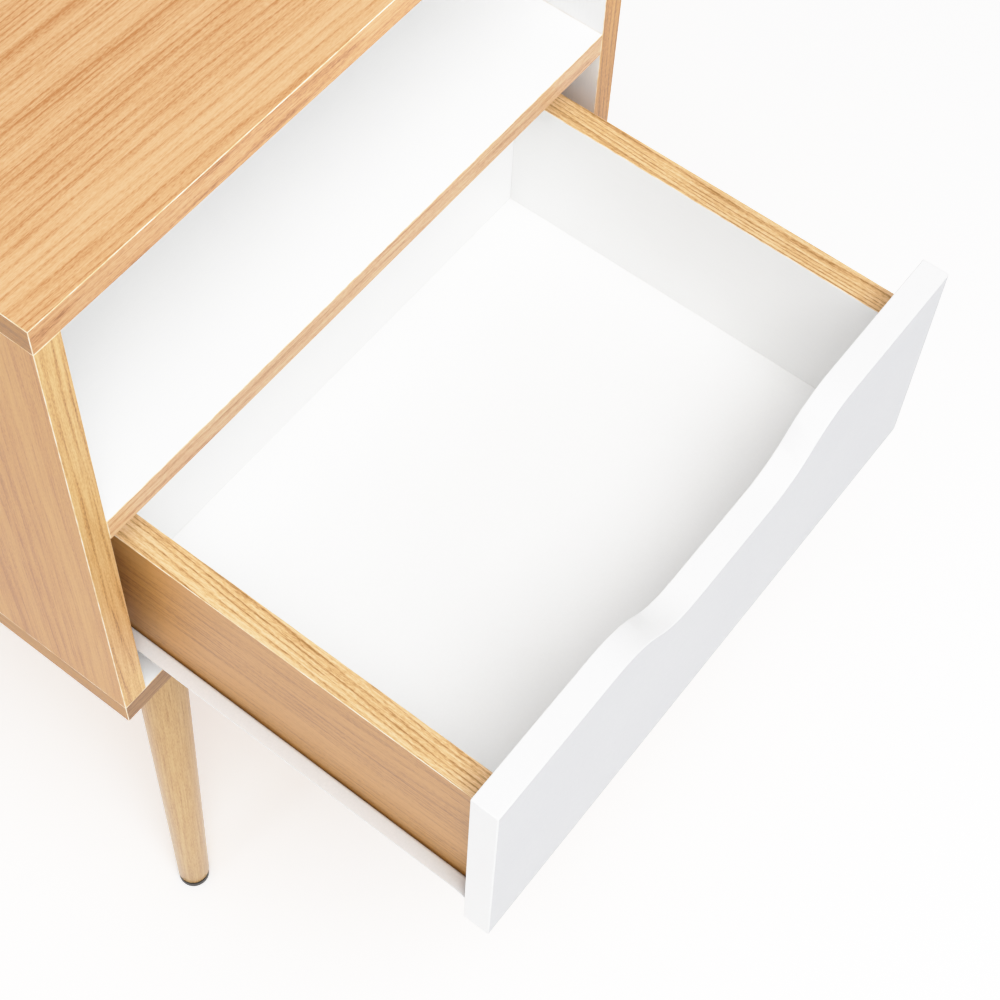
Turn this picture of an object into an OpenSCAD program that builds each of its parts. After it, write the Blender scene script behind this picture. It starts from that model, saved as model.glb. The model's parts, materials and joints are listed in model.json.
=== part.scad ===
// Nightstand with an open shelf over one drawer, on four splayed round legs.
// Millimetres. +Z is up, the front faces -Y, and the floor is at Z = 0.
// The drawer is drawn pulled out to its stop, and closes along +Y.

/* [Carcass] */
// Width of the carcass
carcass_w = 400; // [380:1:460]
// Depth of the carcass, front edges to back edges
carcass_d = 300; // [296:1:340]
// Height of the carcass from its underside to its top face
carcass_h = 342; // [336:1:370]
// Thickness of the laminated boards
board_t = 15; // [15:0.5:16]
// Thickness of the hardboard back and of the drawer bottom
thin_t = 3; // [3:0.1:3.5]
// From the top face of the carcass down to the top face of the shelf
shelf_drop = 161; // [140:1:162]

/* [Drawer] */
// How far the drawer runs between closed and its stop
drawer_travel = 215; // [150:1:215]
// Height of the drawer front
front_h = 141; // [136:1:142]
// Gap between the drawer front and the carcass sides
front_gap = 3; // [2:0.5:4]
// Height of the drawer's side boards
drawer_side_h = 105; // [95:1:108]
// Length of the drawer's side boards
drawer_side_l = 247; // [245:0.5:248]
// Depth of the finger dip in the drawer front
dip_depth = 26; // [15:1:30]
// From the middle of the drawer front to the middle of the dip's slope
dip_half_w = 63; // [55:1:80]
// Radius of the dip's rounded shoulders
dip_r = 48; // [30:1:55]

/* [Runners] */
// Space that a runner takes between carcass and drawer
runner_gap = 12.5; // [12.5:0.1:13]
// Length of both runner members
runner_l = 250; // [249:0.5:251]
// Thickness of the runner steel
steel_t = 1; // [0.8:0.1:1]
// Radius of the roller at the front of the carcass member
front_roller_r = 8; // [7.5:0.1:8]
// Radius of the roller at the back of the drawer member
rear_roller_r = 7.5; // [7:0.1:7.5]

/* [Legs] */
// Height from the floor to the underside of the carcass
leg_h = 258; // [200:1:300]
// Diameter of the leg at the carcass
leg_top_d = 31.8; // [28:0.1:34]
// Diameter of the leg at the floor
leg_foot_d = 18.4; // [16:0.1:22]
// Lean of each leg, outwards along the diagonal, in degrees
splay = 12; // [6:0.5:14]
// From the carcass side to the leg's centre, at the underside
leg_inset_x = 59; // [50:1:80]
// From the carcass front or back to the leg's centre, at the underside
leg_inset_y = 42; // [38:1:60]

/* [Hidden] */
$fn = 64;
CORNERS = [[-1, -1], [1, -1], [-1, 1], [1, 1]];
PLACES = ["front_left", "front_right", "rear_left", "rear_right"];

// colours
oak = [0.87, 0.70, 0.50];
white = [0.95, 0.95, 0.94];
beech = [0.85, 0.73, 0.54];
zinc = [0.75, 0.76, 0.78];
black = [0.1, 0.1, 0.1];

// fits and clearances
air = 0.3;          // between things that pass each other
slip = 0.1;         // between a thin panel and its groove
pin_slip = 0.05;    // between a roller's bore and its pin
groove_d = 6;       // depth of the panel grooves
groove_in = 10;     // from the back edges to the back panel's groove

// carcass heights and widths
pad_r = leg_foot_d / 2 - 0.2;
foot_out = leg_h * tan(splay) / sqrt(2);    // how far a foot stands out from the leg's top
foot_overhang = max(0, foot_out + pad_r - leg_inset_y);
front_y = (drawer_travel - carcass_d - foot_overhang) / 2;
back_y = front_y + carcass_d;
floor_z = leg_h + board_t;
top_z = leg_h + carcass_h;
ceiling_z = top_z - board_t;
shelf_z = top_z - shelf_drop;
bay_z = shelf_z - board_t;
half_w = carcass_w / 2;
inner_x = half_w - board_t;
edge_x = half_w - board_t / 2;
panel_y = back_y - groove_in - thin_t;
shelf_back_y = panel_y - air;

// fittings
dowel_r = 4;
dowel_l = 30;
dowel_set = 10;     // how deep a dowel sits in a board's face
cam_r = 7.5;
cam_h = 12;
cam_in = 24;        // from a board's end to the cam's centre
cam_bolt_r = 3;
cam_neck_r = 2.5;
cam_bolt_set = 11;
cam_gap = 0.2;      // between a cam and the face that it is sunk in
slot_l = 7;         // cross slot in a cam
slot_w = 1.2;
slot_d = 2;
screw_r = 2;
screw_l = 14;
screw_head_r = 3.8;
sink_r = 4;         // countersunk head
sink_t = 1.8;
long_l = 50;        // screws that hold the sides on the bottom panel
long_r = 2.5;
long_shank_r = 3.5;
long_shank_l = 12;
long_head_r = 5;
long_head_t = 2;
hex_r = 2;          // socket in their heads
small_l = 16;       // screws that hold the drawer's bottom
small_r = 1.5;
small_head_r = 3;
small_head_t = 1.2;
pan_head_t = 1.4;
fix_inset = 40;     // from a board's front or back edge to its first fitting
dowel_step = 40;    // from that fitting to the dowel next to it
fix_ys = [front_y + fix_inset, back_y - fix_inset];
dowel_ys = [front_y + fix_inset + dowel_step, back_y - fix_inset - dowel_step];
shelf_fix_ys = [front_y + fix_inset, shelf_back_y - fix_inset];
shelf_dowel_ys = [front_y + fix_inset + dowel_step, shelf_back_y - fix_inset - dowel_step];

// drawer
drawer_face_y = front_y - drawer_travel;
drawer_y = drawer_face_y + board_t;
drawer_end_y = drawer_y + drawer_side_l;
front_z = (floor_z + bay_z - front_h) / 2;
front_top_z = front_z + front_h;
front_half_w = inner_x - front_gap;
side_x = inner_x - runner_gap;
drawer_in_x = side_x - board_t;
drawer_edge_x = side_x - board_t / 2;
drawer_side_z = floor_z + 17;               // room for the runner under the side boards
drawer_side_top = drawer_side_z + drawer_side_h;
drawer_floor_z = drawer_side_z + 17;        // top face of the drawer's bottom
drawer_back_y = drawer_end_y - board_t;
drawer_back_mid = drawer_end_y - board_t / 2;
back_screw_l = 45;
drawer_dowel_zs = [drawer_side_z + 27, drawer_side_top - 22];
dip_run = sqrt(4 * dip_depth * dip_r - dip_depth * dip_depth) / 2;

// runners
track_z = drawer_side_z + 12;               // underside of the drawer member's track
track_w = 8.7;
channel_w = 10.3;
channel_z = floor_z + 8.2;                  // underside of the carcass member
channel_h = 18.8;
channel_lip = 2.5;                          // the upper flange starts this far behind the roller
rail_y = front_y + board_t + 2;             // just behind the closed drawer front
rail_end_y = rail_y + runner_l;
drawer_rail_end_y = drawer_y + runner_l;
roller_w = 8;
roller_side = 1;                            // from a roller's flat to the steel beside it
rim = 1.5;                                  // a roller's rim and hub round its dished faces
hub = 1.2;
pin_r = 2;
pin_head_r = 3.5;
pin_head_t = 0.7;
front_roller_y = rail_y + front_roller_r + 0.5;
front_roller_z = track_z - air - front_roller_r;
rear_roller_y = drawer_rail_end_y - rear_roller_r + 0.1;
rear_roller_z = channel_z + steel_t + air + rear_roller_r;
front_roller_x = inner_x - steel_t - roller_side - roller_w;
rear_roller_x = side_x + steel_t + roller_side;
head_gap = 0.1;                             // between a roller and the head of its pin
stop_t = 1;                                 // stamped stops, from the roller's centre line
stop_down = 1;
stop_up = 4;
nose_r = 14;                                // bend at the front end of the track
nose_l = 8;
ledge_w = 12.5;                             // flange under the drawer's side board
ear_r = 6.5;                                // eye of the drawer member round the roller's pin
rail_screw_ys = [rail_y + 35, rail_y + 120, rail_y + 210];
drawer_rail_screw_ys = [drawer_y + 30, drawer_y + 125, drawer_y + 215];

// legs
leg_l = leg_h / cos(splay);
leg_taper = (leg_top_d - leg_foot_d) / 2 / leg_l;
leg_spare = 10;     // the cone runs on past the floor before it is cut level
far = 100;          // larger than any leg's end
plate_w = 58;
plate_t = 2;
plate_corner_r = 8;
boss_r = 16.5;
boss_l = 9;
bolt_r = 4;
bolt_in_leg = 35;
pad_t = 2.5;
pad_edge = 0.8;     // bevel round the pad's lower edge
nail_r = 1.2;
nail_l = 12;
plate_hole = 22;

module block(low, high)
    translate(low) cube(high - low);

module rod(at, axis, r, l)
    translate(at)
        rotate(axis == "x" ? [0, 90, 0] : axis == "y" ? [-90, 0, 0] : [0, 0, 0])
            cylinder(r = r, h = l);

// the children on the right (side 1) or mirrored to the left (side -1)
module on_side(side)
    if (side < 0) mirror([1, 0, 0]) children();
    else children();

// ---- carcass ----

module top_panel() color(oak)
    difference() {
        block([-half_w, front_y, ceiling_z], [half_w, back_y, top_z]);
        back_groove();
        for (side = [-1, 1]) on_side(side) {
            top_dowels();
            top_cam_bolts();
        }
    }

module bottom_panel() color(oak)
    difference() {
        block([-half_w, front_y, leg_h], [half_w, back_y, floor_z]);
        back_groove();
        for (side = [-1, 1]) on_side(side) {
            bottom_dowels();
            side_screws();
        }
        leg_plate_screws();
    }

module side_panel(side) color(oak)
    on_side(side) difference() {
        block([inner_x, front_y, floor_z], [half_w, back_y, ceiling_z]);
        back_groove();
        top_dowels();
        bottom_dowels();
        shelf_dowels();
        side_screws();
        for (y = fix_ys) {
            rod([inner_x - 1, y, ceiling_z - cam_in], "x", cam_r, cam_h + 1);
            rod([edge_x, y, ceiling_z - cam_in], "z", cam_bolt_r, cam_in + 1);
        }
        shelf_cam_bolts();
        rail_screws();
    }

module shelf_panel() color(oak)
    difference() {
        block([-inner_x, front_y, bay_z], [inner_x, shelf_back_y, shelf_z]);
        for (side = [-1, 1]) on_side(side) {
            shelf_dowels();
            for (y = shelf_fix_ys) {
                rod([inner_x - cam_in, y, bay_z - 1], "z", cam_r, cam_h + 1);
                rod([inner_x - cam_in, y, bay_z + board_t / 2], "x", cam_bolt_r, cam_in + 1);
            }
        }
    }

// the groove that holds the back panel, all round
module back_groove()
    block([-inner_x - groove_d, panel_y - slip, floor_z - groove_d],
          [inner_x + groove_d, panel_y + thin_t + slip, ceiling_z + groove_d]);

module back_panel() color(white)
    block([-inner_x - groove_d + slip, panel_y, floor_z - groove_d + slip],
          [inner_x + groove_d - slip, panel_y + thin_t, ceiling_z + groove_d - slip]);

module top_dowels()
    for (y = dowel_ys)
        rod([edge_x, y, ceiling_z + dowel_set - dowel_l], "z", dowel_r, dowel_l);

module bottom_dowels()
    for (y = dowel_ys)
        rod([edge_x, y, floor_z - dowel_set], "z", dowel_r, dowel_l);

module shelf_dowels()
    for (y = shelf_dowel_ys)
        rod([inner_x + dowel_set - dowel_l, y, bay_z + board_t / 2], "x", dowel_r, dowel_l);

module carcass_dowels() color(beech)
    for (side = [-1, 1]) on_side(side) {
        top_dowels();
        bottom_dowels();
        shelf_dowels();
    }

module top_cam_bolts()
    for (y = fix_ys)
        cam_bolt([edge_x, y, ceiling_z], [180, 0, 0]);

module shelf_cam_bolts()
    for (y = shelf_fix_ys)
        cam_bolt([inner_x, y, bay_z + board_t / 2], [0, -90, 0]);

// a bolt that screws into the board behind it and reaches into the cam in front
module cam_bolt(at, turn)
    translate(at) rotate(turn) {
        translate([0, 0, -cam_bolt_set]) cylinder(r = cam_bolt_r, h = cam_bolt_set);
        cylinder(r = cam_neck_r, h = cam_in - cam_bolt_r);
        translate([0, 0, cam_in - cam_bolt_r]) cylinder(r = cam_bolt_r, h = cam_bolt_r);
    }

module cam_bolts() color(zinc)
    for (side = [-1, 1]) on_side(side) {
        top_cam_bolts();
        shelf_cam_bolts();
    }

// a round cam, open on its +X side for the head of its bolt, with a cross slot
module cam_lock(at, turn)
    translate(at) rotate(turn) difference() {
        cylinder(r = cam_r, h = cam_h - cam_gap);
        rod([-cam_bolt_r - cam_gap, 0, board_t / 2 - cam_gap], "x", cam_bolt_r + air, cam_r * 2);
        for (a = [0, 90]) rotate([0, 0, a])
            block([-slot_l / 2, -slot_w / 2, -1], [slot_l / 2, slot_w / 2, slot_d]);
    }

module cam_locks() color(zinc)
    for (side = [-1, 1]) on_side(side) {
        for (y = fix_ys)
            cam_lock([inner_x + cam_gap, y, ceiling_z - cam_in], [180, -90, 0]);
        for (y = shelf_fix_ys)
            cam_lock([inner_x - cam_in, y, bay_z + cam_gap], [0, 0, 0]);
    }

// long screws up through the bottom panel into the ends of the sides
module side_screws()
    for (y = fix_ys) {
        rod([edge_x, y, leg_h], "z", long_shank_r, long_shank_l);
        rod([edge_x, y, leg_h], "z", long_r, long_l);
        translate([edge_x, y, leg_h])
            cylinder(r1 = long_head_r, r2 = long_shank_r, h = long_head_t);
    }

module carcass_screws() color(zinc)
    for (side = [-1, 1]) on_side(side)
        difference() {
            side_screws();
            for (y = fix_ys)
                translate([edge_x, y, leg_h - 1]) cylinder(r = hex_r, h = 3, $fn = 6);
        }

// ---- runners ----

// the channel screwed to the carcass, with its two stamped stops
module cabinet_rail(side) color(white)
    on_side(side) difference() {
        union() {
            block([inner_x - steel_t, rail_y, channel_z],
                  [inner_x, rail_end_y, channel_z + channel_h]);
            block([inner_x - channel_w, rail_y, channel_z],
                  [inner_x, rail_end_y, channel_z + steel_t]);
            block([inner_x - channel_w, front_roller_y + front_roller_r + channel_lip,
                   channel_z + channel_h - steel_t],
                  [inner_x, rail_end_y, channel_z + channel_h]);
            for (y = [rear_roller_y - rear_roller_r - air - stop_t,
                      rear_roller_y + drawer_travel + rear_roller_r + air])
                block([inner_x - channel_w + 2, y, rear_roller_z - stop_down],
                      [inner_x, y + stop_t, rear_roller_z + stop_up]);
        }
        rod([inner_x - steel_t - 1, front_roller_y, front_roller_z], "x", pin_r, steel_t + 2);
        rail_screws();
    }

module rail_screws()
    for (y = rail_screw_ys) {
        rod([inner_x - steel_t, y, channel_z + channel_h / 2], "x", screw_r, screw_l - 1);
        translate([inner_x - steel_t, y, channel_z + channel_h / 2]) rotate([0, 90, 0])
            cylinder(r1 = sink_r, r2 = screw_r, h = sink_t);
    }

module cabinet_rail_screws() color(zinc)
    for (side = [-1, 1]) on_side(side) rail_screws();

module cabinet_roller_pins() color(zinc)
    for (side = [-1, 1]) on_side(side) {
        head_x = front_roller_x - head_gap - pin_head_t;
        rod([head_x, front_roller_y, front_roller_z], "x", pin_r, inner_x - head_x);
        rod([head_x, front_roller_y, front_roller_z], "x", pin_head_r, pin_head_t);
    }

// a roller from x inwards to outwards, dished on both faces
module roller(x, y, z, r)
    translate([x, y, z]) rotate([0, 90, 0]) difference() {
        cylinder(r = r, h = roller_w);
        translate([0, 0, -1]) cylinder(r = pin_r + pin_slip, h = roller_w + 2);
        for (face = [-1, roller_w - 1])
            translate([0, 0, face]) difference() {
                cylinder(r = r - rim, h = 2);
                translate([0, 0, -1]) cylinder(r = pin_r + hub, h = 4);
            }
    }

module cabinet_roller(side) color(white)
    on_side(side) roller(front_roller_x, front_roller_y, front_roller_z, front_roller_r);

module drawer_roller(side) color(white)
    on_side(side) roller(rear_roller_x, rear_roller_y, rear_roller_z, rear_roller_r);

// the angle screwed under the drawer's side, with its outward track bent down at the front
module drawer_rail(side) color(white)
    on_side(side) difference() {
        union() {
            block([side_x, drawer_y, drawer_side_z - steel_t],
                  [side_x + steel_t, drawer_rail_end_y, track_z + steel_t]);
            block([side_x - ledge_w, drawer_y, drawer_side_z - steel_t],
                  [side_x + steel_t, drawer_end_y, drawer_side_z]);
            block([side_x, drawer_y + nose_l, track_z],
                  [side_x + track_w, drawer_rail_end_y, track_z + steel_t]);
            track_nose();
            rod([side_x, rear_roller_y, rear_roller_z], "x", ear_r, steel_t);
        }
        rod([side_x - 1, rear_roller_y, rear_roller_z], "x", pin_r, steel_t + 2);
        drawer_rail_screws_at_side();
    }

module track_nose()
    translate([side_x, drawer_y + nose_l, track_z + steel_t - nose_r])
        intersection() {
            difference() {
                rod([0, 0, 0], "x", nose_r, track_w);
                rod([-1, 0, 0], "x", nose_r - steel_t, track_w + 2);
            }
            block([0, -nose_l, 0], [track_w, 0, nose_r]);
        }

module drawer_rail_screws_at_side()
    for (y = drawer_rail_screw_ys) {
        rod([drawer_edge_x, y, drawer_side_z - steel_t], "z", screw_r, screw_l);
        rod([drawer_edge_x, y, drawer_side_z - steel_t - pan_head_t], "z", screw_head_r, pan_head_t);
    }

module drawer_rail_screws() color(zinc)
    for (side = [-1, 1]) on_side(side) drawer_rail_screws_at_side();

module drawer_roller_pins() color(zinc)
    for (side = [-1, 1]) on_side(side) {
        head_x = rear_roller_x + roller_w + head_gap;
        rod([side_x, rear_roller_y, rear_roller_z], "x", pin_r, head_x - side_x);
        rod([head_x, rear_roller_y, rear_roller_z], "x", pin_head_r, pin_head_t);
    }

// ---- drawer ----

// half of the finger dip: a hollow curve out of the floor, then a round shoulder
module half_dip()
    translate([0, drawer_face_y - 1, front_top_z]) {
        translate([0, 0, -dip_depth]) cube([dip_half_w - dip_run, board_t + 2, dip_depth + 1]);
        intersection() {
            rod([dip_half_w - dip_run, 0, dip_r - dip_depth], "y", dip_r, board_t + 2);
            translate([0, 0, -dip_depth]) cube([dip_half_w, board_t + 2, dip_depth + 1]);
        }
        difference() {
            translate([dip_half_w, 0, -dip_depth / 2])
                cube([dip_run, board_t + 2, dip_depth / 2 + 1]);
            rod([dip_half_w + dip_run, -1, -dip_r], "y", dip_r, board_t + 4);
        }
    }

module drawer_front() color(white)
    difference() {
        block([-front_half_w, drawer_face_y, front_z], [front_half_w, drawer_y, front_top_z]);
        for (side = [-1, 1]) on_side(side) {
            half_dip();
            front_dowels();
        }
        drawer_groove();
    }

// the groove that holds the drawer's bottom in the front and the sides
module drawer_groove()
    block([-drawer_in_x - groove_d, drawer_y - groove_d, drawer_floor_z - thin_t - slip],
          [drawer_in_x + groove_d, drawer_end_y + 1, drawer_floor_z + slip]);

module drawer_side(side) color(oak)
    on_side(side) difference() {
        block([drawer_in_x, drawer_y, drawer_side_z], [side_x, drawer_end_y, drawer_side_top]);
        drawer_groove();
        front_dowels();
        back_dowels();
        back_screws();
        drawer_rail_screws_at_side();
    }

module drawer_back() color(white)
    difference() {
        block([-drawer_in_x, drawer_back_y, drawer_floor_z + slip],
              [drawer_in_x, drawer_end_y, drawer_side_top]);
        for (side = [-1, 1]) on_side(side) {
            back_dowels();
            back_screws();
        }
        drawer_bottom_screws();
    }

module drawer_bottom() color(white)
    difference() {
        block([-drawer_in_x - groove_d + slip, drawer_y - groove_d + slip, drawer_floor_z - thin_t],
              [drawer_in_x + groove_d - slip, drawer_end_y, drawer_floor_z]);
        drawer_bottom_screws();
    }

module front_dowels()
    for (z = drawer_dowel_zs)
        rod([drawer_edge_x, drawer_y - dowel_set, z], "y", dowel_r, dowel_l);

module back_dowels()
    for (z = drawer_dowel_zs)
        rod([drawer_in_x + dowel_set - dowel_l, drawer_back_mid, z], "x", dowel_r, dowel_l);

module drawer_dowels() color(beech)
    for (side = [-1, 1]) on_side(side) {
        front_dowels();
        back_dowels();
    }

module back_screws() {
    mid_z = (drawer_dowel_zs[0] + drawer_dowel_zs[1]) / 2;
    rod([side_x - back_screw_l, drawer_back_mid, mid_z], "x", screw_r, back_screw_l);
    translate([side_x - sink_t, drawer_back_mid, mid_z]) rotate([0, 90, 0])
        cylinder(r1 = screw_r, r2 = sink_r, h = sink_t);
}

module drawer_back_screws() color(zinc)
    for (side = [-1, 1]) on_side(side) back_screws();

module drawer_bottom_screws() color(zinc)
    for (x = [-1, 0, 1] * (drawer_in_x - 40)) {
        rod([x, drawer_back_mid, drawer_floor_z - thin_t], "z", small_r, small_l);
        rod([x, drawer_back_mid, drawer_floor_z - thin_t - small_head_t], "z",
            small_head_r, small_head_t);
    }

// ---- legs ----

// the children at a leg's place under the carcass, with Z = 0 at the carcass's underside
module at_leg(corner)
    translate([corner[0] * (half_w - leg_inset_x),
               corner[1] < 0 ? front_y + leg_inset_y : back_y - leg_inset_y, leg_h])
        children();

// the children leaning outwards along the diagonal; -Z runs down the leg
module leaning(corner)
    rotate(splay, [corner[1], -corner[0], 0]) mirror([0, 0, 1]) children();

module leg(corner) color(beech)
    at_leg(corner) difference() {
        leaning(corner)
            translate([0, 0, boss_l])
                cylinder(r1 = leg_top_d / 2 - boss_l * leg_taper,
                         r2 = leg_foot_d / 2 - leg_spare * leg_taper,
                         h = leg_l + leg_spare - boss_l);
        leaning(corner) rod([0, 0, 0], "z", bolt_r, boss_l + bolt_in_leg);
        translate([0, 0, -leg_h]) {
            rod([corner[0] * foot_out, corner[1] * foot_out, 0], "z", nail_r, pad_t + nail_l);
            block([-far, -far, -far], [far, far, pad_t]);
        }
    }

module foot_pad(corner) color(black)
    at_leg(corner) translate([corner[0] * foot_out, corner[1] * foot_out, -leg_h]) {
        rotate_extrude()
            polygon([[0, 0], [pad_r - pad_edge, 0], [pad_r, pad_edge], [pad_r, pad_t], [0, pad_t]]);
        rod([0, 0, pad_t], "z", nail_r, nail_l);
    }

module leg_plate(corner) color(zinc)
    at_leg(corner) difference() {
        union() {
            plate_sheet();
            intersection() {
                leaning(corner) translate([0, 0, -boss_r]) cylinder(r = boss_r, h = boss_r + boss_l);
                block([-far, -far, -far], [far, far, -plate_t]);
            }
        }
        leaning(corner) rod([0, 0, -boss_l], "z", bolt_r, boss_l * 3);
        plate_screws();
    }

module plate_sheet()
    translate([0, 0, -plate_t]) {
        flat = plate_w / 2 - plate_corner_r;
        for (x = [-flat, flat], y = [-flat, flat])
            translate([x, y, 0]) cylinder(r = plate_corner_r, h = plate_t);
        block([-flat, -plate_w / 2, 0], [flat, plate_w / 2, plate_t]);
        block([-plate_w / 2, -flat, 0], [plate_w / 2, flat, plate_t]);
    }

module plate_screws()
    for (x = [-plate_hole, plate_hole], y = [-plate_hole, plate_hole]) {
        rod([x, y, -plate_t], "z", screw_r, screw_l);
        translate([x, y, -plate_t]) cylinder(r1 = sink_r, r2 = screw_r, h = sink_t);
    }

module leg_plate_screws() color(zinc)
    for (corner = CORNERS) at_leg(corner) plate_screws();

module leg_hanger_bolts() color(zinc)
    for (corner = CORNERS) at_leg(corner) intersection() {
        leaning(corner) rod([0, 0, 0], "z", bolt_r, boss_l + bolt_in_leg);
        block([-far, -far, -far], [far, far, 0]);
    }

// ---- every node by name ----

top_panel();
bottom_panel();
side_panel(-1);  // left_side_panel
side_panel(1);  // right_side_panel
shelf_panel();
back_panel();
cam_locks();
cam_bolts();
carcass_dowels();
carcass_screws();
cabinet_rail(-1);  // left_cabinet_rail
cabinet_rail(1);  // right_cabinet_rail
cabinet_rail_screws();
cabinet_roller_pins();
cabinet_roller(-1);  // left_cabinet_roller
cabinet_roller(1);  // right_cabinet_roller
for (i = [0 : 3]) {
    leg(CORNERS[i]);
    leg_plate(CORNERS[i]);
    foot_pad(CORNERS[i]);
}
leg_plate_screws();
leg_hanger_bolts();
drawer_front();
drawer_side(-1);  // drawer_left_side
drawer_side(1);  // drawer_right_side
drawer_back();
drawer_bottom();
drawer_dowels();
drawer_back_screws();
drawer_bottom_screws();
drawer_rail(-1);  // left_drawer_rail
drawer_rail(1);  // right_drawer_rail
drawer_rail_screws();
drawer_roller_pins();
drawer_roller(-1);  // left_drawer_roller
drawer_roller(1);  // right_drawer_roller
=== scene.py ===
# %% [markdown]
# # A nightstand with an open shelf and one drawer
#
# The nightstand is flat-pack furniture: laminated boards held by cams, dowels and screws, a drawer on
# roller runners, and four turned legs. Its sizes come from the design model, which is loaded first and
# stays where it is. Each board, leg and runner is then modelled again around it with real arrises,
# grooves and finishes. Everything is in metres, Z is up, and the front faces -Y.

# %% Load the design model
import json
import math

import bpy
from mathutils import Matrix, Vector

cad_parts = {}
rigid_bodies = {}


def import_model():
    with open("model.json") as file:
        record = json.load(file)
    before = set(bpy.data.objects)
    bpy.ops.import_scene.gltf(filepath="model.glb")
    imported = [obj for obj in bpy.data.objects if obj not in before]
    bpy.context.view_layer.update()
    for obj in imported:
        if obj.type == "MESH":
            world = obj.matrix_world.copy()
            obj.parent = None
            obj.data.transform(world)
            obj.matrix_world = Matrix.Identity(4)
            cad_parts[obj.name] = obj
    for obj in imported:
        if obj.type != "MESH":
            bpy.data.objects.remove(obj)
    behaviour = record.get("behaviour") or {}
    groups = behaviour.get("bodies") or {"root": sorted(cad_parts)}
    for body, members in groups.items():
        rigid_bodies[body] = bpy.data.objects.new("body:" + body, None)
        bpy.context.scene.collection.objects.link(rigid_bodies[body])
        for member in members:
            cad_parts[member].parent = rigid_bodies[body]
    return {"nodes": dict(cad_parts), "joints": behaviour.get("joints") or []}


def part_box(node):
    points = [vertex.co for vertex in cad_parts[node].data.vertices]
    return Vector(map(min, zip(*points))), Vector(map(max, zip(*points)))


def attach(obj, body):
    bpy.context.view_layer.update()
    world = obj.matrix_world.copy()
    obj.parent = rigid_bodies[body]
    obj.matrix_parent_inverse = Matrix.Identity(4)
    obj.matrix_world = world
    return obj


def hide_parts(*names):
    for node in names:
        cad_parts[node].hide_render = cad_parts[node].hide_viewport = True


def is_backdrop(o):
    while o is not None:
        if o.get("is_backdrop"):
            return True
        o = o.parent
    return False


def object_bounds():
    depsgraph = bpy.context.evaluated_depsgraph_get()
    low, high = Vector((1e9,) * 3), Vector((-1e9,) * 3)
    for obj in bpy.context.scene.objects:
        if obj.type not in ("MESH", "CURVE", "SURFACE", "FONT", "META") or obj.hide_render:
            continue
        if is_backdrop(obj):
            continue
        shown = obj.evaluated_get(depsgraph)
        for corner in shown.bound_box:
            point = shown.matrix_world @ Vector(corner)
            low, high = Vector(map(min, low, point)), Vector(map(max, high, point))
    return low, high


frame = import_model()
cad_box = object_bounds()
MM = 0.001

# %% [markdown]
# ## The camera
#
# The view looks down on the front left corner from above. A long lens keeps the far edges nearly
# parallel. The camera stands at a measured distance from the cabinet's top, front, left corner, and the
# small shift slides the frame without turning the view.

# %% Place the camera
scene = bpy.context.scene
top_low, top_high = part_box("top_panel")
corner = Vector((top_low.x, top_low.y, top_high.z))
camera_data = bpy.data.cameras.new("camera")
camera_data.lens = 77.52
camera_data.shift_y = -0.05
camera_data.clip_end = 50
camera = bpy.data.objects.new("camera", camera_data)
camera.location = corner + Vector((-0.2726, -0.4013, 0.6620))
camera.rotation_euler = [math.radians(a) for a in (31.952, -2.018, -52.516)]
scene.collection.objects.link(camera)
scene.camera = camera
print("camera stands", round((camera.location - corner).length, 3), "m from the corner")

# %% [markdown]
# ## The light
#
# Furniture is lit in a white studio: the light comes mostly from a white ceiling, the far walls are
# darker, and the pale floor throws light back up. So the world is a gradient, from a bright zenith to a
# dim horizon. A large soft box in front of and above the cabinet lights the top, and a smaller one lights
# the left side. The top shades the open shelf, so a small lamp over the pulled-out drawer fills it. The
# lamps could show as white squares, so the camera doesn't see them. The Standard view keeps white boards
# white, and a curve with a soft shoulder, like a camera's, keeps them from burning out.

# %% Light the studio
scene.view_settings.view_transform = "Standard"
scene.view_settings.use_curve_mapping = True
curve = scene.view_settings.curve_mapping
curve.white_level = (1.6, 1.6, 1.6)
shoulder = curve.curves[3].points
for light_in, light_out in ((0.3, 0.46), (0.5, 0.74), (0.72, 0.93)):
    shoulder.new(light_in, light_out)
curve.update()

world = bpy.data.worlds.new("white_studio")
world.use_nodes = True
sky = world.node_tree
room = sky.nodes.new("ShaderNodeTexCoord")
height = sky.nodes.new("ShaderNodeSeparateXYZ")
walls = sky.nodes.new("ShaderNodeMapRange")
walls.inputs["To Min"].default_value = 0.2
walls.inputs["To Max"].default_value = 0.75
sky.links.new(room.outputs["Generated"], height.inputs["Vector"])
sky.links.new(height.outputs["Z"], walls.inputs["Value"])
sky.links.new(walls.outputs["Result"], sky.nodes["Background"].inputs["Strength"])
sky.nodes["Background"].inputs["Color"].default_value = (1.0, 1.0, 1.0, 1.0)
scene.world = world


def soft_box(name, place, width, watts, target=(0, 0, 0.4)):
    """A square area light that shines from place at target."""
    light = bpy.data.lights.new(name, "AREA")
    light.size = width
    light.energy = watts
    lamp = bpy.data.objects.new(name, light)
    lamp.location = place
    lamp.rotation_euler = (Vector(target) - Vector(place)).to_track_quat("-Z", "Y").to_euler()
    lamp.visible_camera = False
    scene.collection.objects.link(lamp)
    print(name, "at", place, "gives", watts, "W")


soft_box("front_box", (-0.6, -1.25, 2.75), 2.0, 70)
soft_box("left_box", (-2.4, 0.5, 1.3), 0.5, 5)
soft_box("shelf_fill", (0.04, -0.22, 0.6), 0.3, 0.28, target=(0.02, 0.25, 0.77))

# %% [markdown]
# ## Tools for the bench
#
# The same few moves make every piece. A move acts on all that is selected, so `clear` deselects
# everything first, and `pick` selects faces or edges by their place and direction, as one would click
# them. `start` names a new primitive and puts its place into its mesh, so that its object sits at the
# origin like the design model's nodes. `hand_over` says which body the piece rides on and what it stands
# for.


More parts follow.
